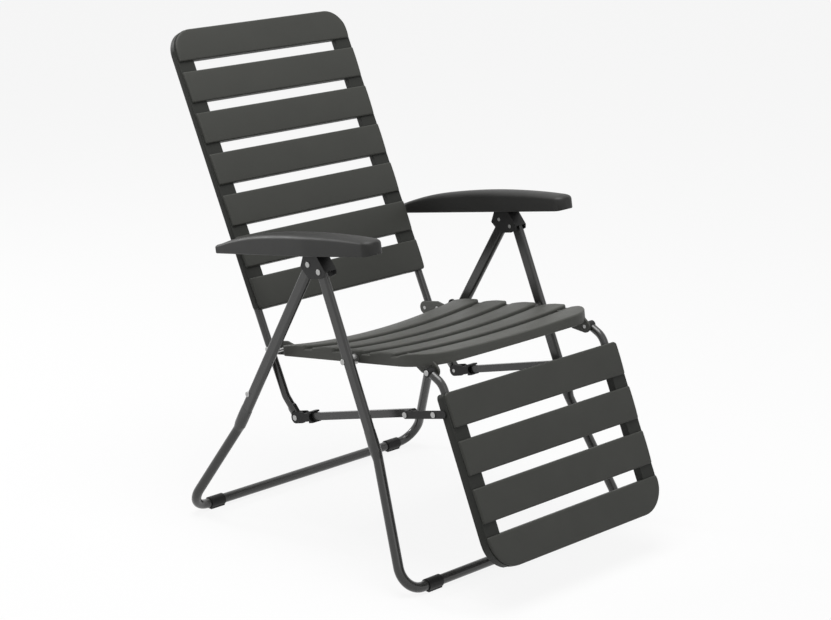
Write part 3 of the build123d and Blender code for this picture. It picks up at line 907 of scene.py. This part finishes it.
    def rim(self, buffer: MeshBuffer) -> None:
        """Add the rim: a flange under the slats' ends and a skirt round the outline.

        Args:
            buffer: Where the rim goes.
        """
        section = [(self.flange, -self.notch, 1.0)]
        section += [(self.lip * (1 - math.sin(a)), -self.notch - self.lip * (1 - math.cos(a)), 1.0)
                    for a in quarter(LIP_STEPS)]
        section += [(0.0, -self.skirt, self.follow),
                    (self.wall * self.toe[0], -self.skirt - self.toe[1], self.follow),
                    (self.wall, -self.skirt, self.follow), (self.wall, -self.thick, 1.0),
                    (self.flange, -self.thick, 1.0)]
        columns = []
        for inset, height, follow in section:
            plan = self.ring(inset)
            up = height + follow * self.surface(plan[:, 0], plan[:, 1])
            columns.append(np.column_stack([plan, up]))
        buffer.loft(self.to_world(np.stack(columns, axis=1)), loop=True)

    def lugs(self, buffer: MeshBuffer) -> None:
        """Add the four lugs that carry the footrest's and the back's hinges.

        Args:
            buffer: Where the lugs go.
        """
        for side in SIDES:
            for discs in (self.front_lug, self.rear_lug):
                ends = (side * (self.lug_x + end * self.lug_thick / 2) for end in SIDES)
                prism(buffer, hull_of_discs(discs), ends, self.lug_rim)

    def build(self) -> Object:
        """Make the seat and hang it on the frame.

        Returns:
            The seat.
        """
        buffer = MeshBuffer()
        for row in range(self.rows):
            self.slat(buffer, row)
        self.rim(buffer)
        self.lugs(buffer)
        # The whole seat takes the lighter finish, painted light standing in for the light on its top.
        obj = buffer.make("seat_slats", SEAT_PAINTED_LIGHT_FINISH)
        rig.replaces(obj, "seat_panel")
        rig.ride(obj, Body.FRAME.value)
        return obj


@dataclass(frozen=True)
class Spacers:
    """The two dark plastic spacers on the seat bolts, between the seat's rim and the front legs.

    Attributes:
        bolt: The bolt's (y, z).
        radius: The spacer's radius.
        rim: The radius of its rims.
        inner: The seat's side.
        outer: The leg's inner face.
    """

    bolt: Pair = (-0.099, 0.436)
    radius: float = 0.0085
    rim: float = 0.0015
    inner: float = 0.2584
    outer: float = 0.2790

    def build(self) -> Object:
        """Make both spacers and hang them on the frame.

        Returns:
            The spacers, as one object.
        """
        buffer = MeshBuffer()
        outline = hull_of_discs([(*self.bolt, self.radius)])
        for side in SIDES:
            prism(buffer, outline, (side * self.inner, side * self.outer), self.rim)
        obj = buffer.make("seat_spacers", RAIL_SHADE_AND_SPACER_FINISH)
        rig.ride(obj, Body.FRAME.value)
        return obj


@dataclass(frozen=True)
class Swages:
    """The smooth swages where a leg frame's two flat-oval tubes run into its round runner.

    Attributes:
        name: The object's name.
        body: The body that the leg frame moves with.
        top: The leg's upper end, (y, z).
        bend: The point where the two tubes meet, (y, z).
        leg_x: The legs' station from the middle.
        wide: The flat oval's half width.
        thin: The flat oval's half thickness.
        round_r: The runner's radius.
        above: The swage's length above the meeting point.
        below: Its length below the meeting point.
        power: The superellipse's power at the flat oval.
        power_fall: How far the power falls to the round runner's, 2.
    """

    name: str
    body: Body
    top: Pair
    bend: Pair
    leg_x: float = 0.286
    wide: float = 0.01385
    thin: float = 0.00685
    round_r: float = 0.01072
    above: float = 0.044
    below: float = 0.016
    power: float = 3.2
    power_fall: float = 1.2

    def section(self, run: float) -> np.ndarray:
        """Draw the superellipse at a run down the leg.

        Args:
            run: The distance down from the meeting point.

        Returns:
            The section as an array (points, 2) of (across, ahead).
        """
        rise = ease(min(1.0 + run / self.above, 1.0))
        fall = ease(max(run / self.below, 0.0))
        exponent = 2.0 / (self.power - self.power_fall * rise)
        turn = np.linspace(0.0, 2 * math.pi, SWAGE_AROUND + 1)[:-1]
        halves = (self.thin + (self.round_r - self.thin) * rise,
                  self.wide + (self.round_r - self.wide) * fall)
        waves = (np.cos(turn), np.sin(turn))
        return np.column_stack([half * np.sign(wave) * np.abs(wave) ** exponent
                                for half, wave in zip(halves, waves)])

    def build(self) -> Object:
        """Loft both swages and hang them on their body.

        Returns:
            The swages, as one object.
        """
        buffer = MeshBuffer()
        down = unit(np.array([0.0, self.bend[0] - self.top[0], self.bend[1] - self.top[1]]))
        across = np.array([1.0, 0.0, 0.0])
        ahead = np.cross(down, across)
        runs = np.concatenate([np.linspace(-self.above, 0.0, SWAGE_ABOVE),
                               np.linspace(0.0, self.below, SWAGE_BELOW)[1:]])
        for side in SIDES:
            foot = np.array([side * self.leg_x, self.bend[0] + Y_SHIFT, self.bend[1]])
            rings = []
            for run in runs:
                x, y = self.section(run).T
                rings.append(foot + run * down + x[:, None] * across + y[:, None] * ahead)
            buffer.loft(np.array(rings))
        obj = buffer.make(self.name, TUBE_FINISH)
        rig.ride(obj, self.body.value)
        return obj


@dataclass(frozen=True)
class ArmRest:
    """One tapered arm rest: a flat underside, upright sides and a crowned, drawn-in top.

    Attributes:
        name: The replacement's name.
        node: The CAD node that it stands for.
        side: -1 for the near side and 1 for the far side.
        rear: The underside's rear end, (y, z).
        front: The underside's front end, (y, z).
        thick: The greatest thickness.
        shares: Thickness along the arm as (share of the run, share of the thickness).
        window: Half the share of the run that the thickness is averaged over.
        inner: The inner face's station from the middle.
        outer: The outer face's station at the front.
        tail: The outer face's station at the rear.
        widened: The share of the run at which the arm reaches its full width.
        tip_r: The plan radius of the front end.
        draw: The most that the front end draws each side in.
        tip_base: How far the front end's underside rises, as a share of the drawing in.
        tip_top: How far its top falls, as a share of the drawing in.
        arch: The upper corners' width and height, as shares of the section's.
        foot_r: The size of the lower corners.
    """

    name: str
    node: str
    side: int
    rear: Pair = (0.312, 0.583)
    front: Pair = (-0.188, 0.671)
    thick: float = 0.047
    shares: tuple[Pair, ...] = (
        (0.0, 0.34), (0.05, 0.50), (0.12, 0.66), (0.2, 0.81), (0.3, 0.92), (0.4, 0.97),
        (0.52, 1.0), (0.64, 0.98), (0.76, 0.92), (0.86, 0.84), (0.94, 0.75), (1.0, 0.66))
    window: float = 0.05
    inner: float = 0.2545
    outer: float = 0.3045
    tail: float = 0.2775
    widened: float = 0.62
    tip_r: float = 0.020
    draw: float = 0.019
    tip_base: float = 0.15
    tip_top: float = 0.35
    arch: Pair = (0.46, 0.28)
    foot_r: float = 0.002

    def height(self, share: np.ndarray) -> np.ndarray:
        """Work out the thickness along the arm, smoothed by a moving mean.

        Args:
            share: Shares of the run.

        Returns:
            The thickness at each of them.
        """
        knots = np.array(self.shares)
        window = np.linspace(-self.window, self.window, MEAN_STEPS)
        spread = np.clip(share[:, None] + window[None, :], 0.0, 1.0)
        return self.thick * np.interp(spread, knots[:, 0], knots[:, 1]).mean(axis=1)

    def section(self, low: float, high: float, base: float, top: float) -> np.ndarray:
        """Draw the cross-section: small lower corners and wide upper ones.

        The upper corners are quarter ellipses that nearly meet, so that the top is a low arch.

        Args:
            low: The section's inner side.
            high: Its outer side.
            base: Its underside.
            top: Its top.

        Returns:
            The section as an array (points, 2) of (x, up).
        """
        wide, deep, small = (high - low) * self.arch[0], (top - base) * self.arch[1], self.foot_r
        turn = quarter(ARCH_STEPS)
        points = [(high - small, base), (high, base + small)]
        points += [(high - wide * (1 - math.cos(a)), top - deep * (1 - math.sin(a))) for a in turn]
        points += [(low + wide * (1 - math.cos(a)), top - deep * (1 - math.sin(a)))
                   for a in turn[::-1]]
        points += [(low, base + small), (low + small, base)]
        return np.array(points)

    def build(self) -> Object:
        """Make the arm and hang it on its body.

        Returns:
            The arm rest.
        """
        run = np.array(self.front) - np.array(self.rear)
        length = float(np.linalg.norm(run))
        ahead = run / length
        up = np.array([ahead[1], -ahead[0]])
        tip = self.tip_r / length
        nose = 1 - tip * (1 - crowd(TIP_STEPS))
        shares = np.concatenate([np.linspace(0.0, 1 - tip, ARM_STEPS), nose[1:]])
        rings = []
        for share, tall in zip(shares, self.height(shares)):
            pull = self.tip_r * fall_share((share - (1 - tip)) / tip)
            drawn = min(pull, self.draw)
            outer = self.tail + (self.outer - self.tail) * min(share / self.widened, 1.0)
            base = self.tip_base * pull
            top = max(tall - self.tip_top * pull, base + LEAST)
            section = self.section(self.inner + drawn, outer - drawn, base, top)
            place = np.array(self.rear) + run * share + section[:, 1:2] * up
            rings.append(np.column_stack([self.side * section[:, 0], place[:, 0] + Y_SHIFT,
                                          place[:, 1]]))
        buffer = MeshBuffer()
        buffer.loft(stack_rings(rings, self.side < 0))
        obj = buffer.make(self.name, ARM_FINISH)
        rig.replaces(obj, self.node)
        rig.ride(obj, Body.ARMS.value)
        return obj


@dataclass(frozen=True)
class Lens:
    """The camera: where it stands and the length of its lens.

    Attributes:
        place: The camera's place.
        azimuth: The turn of its view round the vertical, in degrees.
        tilt: How far it looks down, in degrees.
        focal_px: The focal length in pixels of the picture.
        width_px: The picture's width in pixels.
        sensor: The sensor's width, in millimetres.
        clip: The farthest distance that it sees.
    """

    place: Triple = (-3.13515, -3.2145976 + Y_SHIFT, 1.7393436)
    azimuth: float = -44.361540
    tilt: float = 15.821816
    focal_px: float = 2200.0
    width_px: float = 831.0
    sensor: float = 36.0
    clip: float = 40.0

    def add(self) -> None:
        """Add the camera, looking down its own back axis."""
        a, e = math.radians(self.azimuth), math.radians(self.tilt)
        back = np.array([math.sin(a) * math.cos(e), -math.cos(a) * math.cos(e), math.sin(e)])
        right = np.array([math.cos(a), math.sin(a), 0.0])
        data = bpy.data.cameras.new("view")
        data.sensor_width = self.sensor
        data.lens = self.focal_px * self.sensor / self.width_px
        data.clip_end = self.clip
        camera = add_object("view", data)
        camera.matrix_world = stand(right, np.cross(back, right), back, self.place)
        bpy.context.scene.camera = camera


@dataclass(frozen=True)
class Lamp:
    """A soft square lamp aimed at the middle of the chair.

    Attributes:
        name: The lamp's name.
        place: Its place.
        size: The length of its sides.
        power: Its power, in watts.
        aim: The height of the point that it shines on.
    """

    name: str
    place: Triple
    size: float
    power: float
    aim: float = 0.5

    def add(self) -> None:
        """Add the lamp."""
        data = bpy.data.lights.new(self.name, "AREA")
        data.size = self.size
        data.energy = self.power
        back = unit(np.array(self.place) - np.array([0.0, 0.0, self.aim]))
        right = unit(np.cross([0.0, 0.0, 1.0], back))
        lamp = add_object(self.name, data)
        lamp.matrix_world = stand(right, np.cross(back, right), back, self.place)


@dataclass(frozen=True)
class Studio:
    """The pale floor, the backdrop and the soft lamps.

    Attributes:
        reach: Half the floor's side.
        grey: The floor's plain colour.
        rough: The floor's roughness.
        glow: The share of plain white that the camera sees in the floor.
        sky: The strength of the backdrop as a light.
        lamps: The lamps.
    """

    reach: float = 40.0
    grey: float = 0.8
    rough: float = 0.9
    glow: float = 0.88
    sky: float = 0.30
    lamps: tuple[Lamp, ...] = (
        Lamp("overhead", place=(-0.3, -0.1, 3.6), size=2.2, power=105.0),
        Lamp("streak", place=(-1.1, 3.2, 1.8), size=0.8, power=45.0),
        Lamp("front", place=(-0.6, -3.2, 2.6), size=2.0, power=10.0))

    def seen(self, tree: NodeTree) -> NodeSocket:
        """Tell what the camera sees, directly or in a reflection, from what only gives light.

        Args:
            tree: The node tree to add the test to.

        Returns:
            A socket that is 1 for camera, glossy and transmission rays and 0 for others.
        """
        path = tree.nodes.new("ShaderNodeLightPath")
        socket = path.outputs["Is Camera Ray"]
        for name in ("Is Glossy Ray", "Is Transmission Ray"):
            larger = tree.nodes.new("ShaderNodeMath")
            larger.operation = "MAXIMUM"
            tree.links.new(socket, larger.inputs[0])
            tree.links.new(path.outputs[name], larger.inputs[1])
            socket = larger.outputs[0]
        return socket

    def blend(self, tree: NodeTree, *sockets: NodeSocket) -> None:
        """Mix two shaders into a tree's output.

        Args:
            tree: The node tree.
            *sockets: The mixing share, the first shader, the second one, and the output's input.
        """
        mix = tree.nodes.new("ShaderNodeMixShader")
        for number, socket in enumerate(sockets[:3]):
            tree.links.new(socket, mix.inputs[number])
        tree.links.new(mix.outputs["Shader"], sockets[3])

    def floor(self) -> None:
        """Add a plain pale floor, nearly white to the camera, that keeps the soft shadow."""
        mesh = bpy.data.meshes.new("floor")
        size = self.reach
        corners = [(-size, -size, 0), (size, -size, 0), (size, size, 0), (-size, size, 0)]
        mesh.from_pydata(corners, [], [(0, 1, 2, 3)])
        material = bpy.data.materials.new("floor")
        material.use_nodes = True
        tree = material.node_tree
        shader = tree.nodes["Principled BSDF"]
        set_inputs(shader, {"Base Color": (self.grey, self.grey, self.grey, 1.0),
                            "Roughness": self.rough})
        white = tree.nodes.new("ShaderNodeEmission")
        part = tree.nodes.new("ShaderNodeMath")
        part.operation = "MULTIPLY"
        part.inputs[1].default_value = self.glow
        tree.links.new(self.seen(tree), part.inputs[0])
        self.blend(tree, part.outputs[0], shader.outputs["BSDF"], white.outputs["Emission"],
                   tree.nodes["Material Output"].inputs["Surface"])
        mesh.materials.append(material)
        obj = add_object("floor", mesh)
        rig.stage(obj)

    def world(self) -> None:
        """Fill the surroundings: white to the camera, softer as a light."""
        world = bpy.data.worlds.new("studio")
        bpy.context.scene.world = world
        world.use_nodes = True
        tree = world.node_tree
        ground = tree.nodes["Background"]
        set_inputs(ground, {"Color": WHITE, "Strength": self.sky})
        white = tree.nodes.new("ShaderNodeBackground")
        set_inputs(white, {"Color": WHITE})
        self.blend(tree, self.seen(tree), ground.outputs["Background"],
                   white.outputs["Background"], tree.nodes["World Output"].inputs["Surface"])

    def build(self) -> None:
        """Set the whole stage."""
        self.floor()
        self.world()
        for lamp in self.lamps:
            lamp.add()


@dataclass
class Armchair:
    """The whole chair.

    Attributes:
    """

    frame: dict

    def finish_nodes(self) -> Iterator[Object]:
        """Give every CAD node the finish of its material slot.

        Yields:
            Each node's object, once it is dressed.
        """
        for entry in self.frame["record"]["subparts"]:
            obj = self.frame["nodes"][entry["node"]]
            finish = FINISH_BY_SLOT[Slot(entry["material_slot"])]
            if entry["node"].startswith("arm_") and entry["material_slot"] == "moulding":
                finish = ARM_FINISH
            obj.data.materials.clear()
            obj.data.materials.append(finish.material())
            yield obj

    def build(self) -> Iterator[Object]:
        """Dress the CAD's own pieces and build every sub-assembly.

        Yields:
            Each piece, once it is made.
        """
        yield from self.finish_nodes()
        yield SlattedPanel(BACK_PLAN).build(Body.BACK)
        yield SlattedPanel(FOOT_PLAN).build(Body.FOOTREST)
        yield Seat().build()
        yield Spacers().build()
        yield Swages("rear_swages", Body.REAR_LEGS, top=(0.0, 0.620), bend=(0.233, 0.225)).build()
        yield Swages("front_swages", Body.FRAME, top=(-0.032, 0.610), bend=(-0.188, 0.267)).build()
        yield ArmRest("arm_near", "arm_left", side=-1).build()
        yield ArmRest("arm_far", "arm_right", side=1).build()


def save_sizes(path: str, boxes: dict) -> None:
    """Write the frame's and the finished object's boxes next to each other."""
    with open(path, "w", encoding="utf-8") as handle:
        json.dump(boxes, handle, indent=1, default=lambda value: list(value))


def main() -> None:
    """Build the chair and report each piece, then set the stage and the camera."""
    logging.basicConfig(level=logging.INFO)
    bpy.context.scene.view_settings.view_transform = "Standard"
    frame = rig.load()
    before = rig.bounds()
    for piece in Armchair(frame).build():
        LOG.info("%s: %d faces", piece.name, len(piece.data.polygons))
    Studio().build()
    Lens().add()
    save_sizes("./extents.json", {"frame": before, "finished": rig.bounds()})


if __name__ == "__main__":
    main()
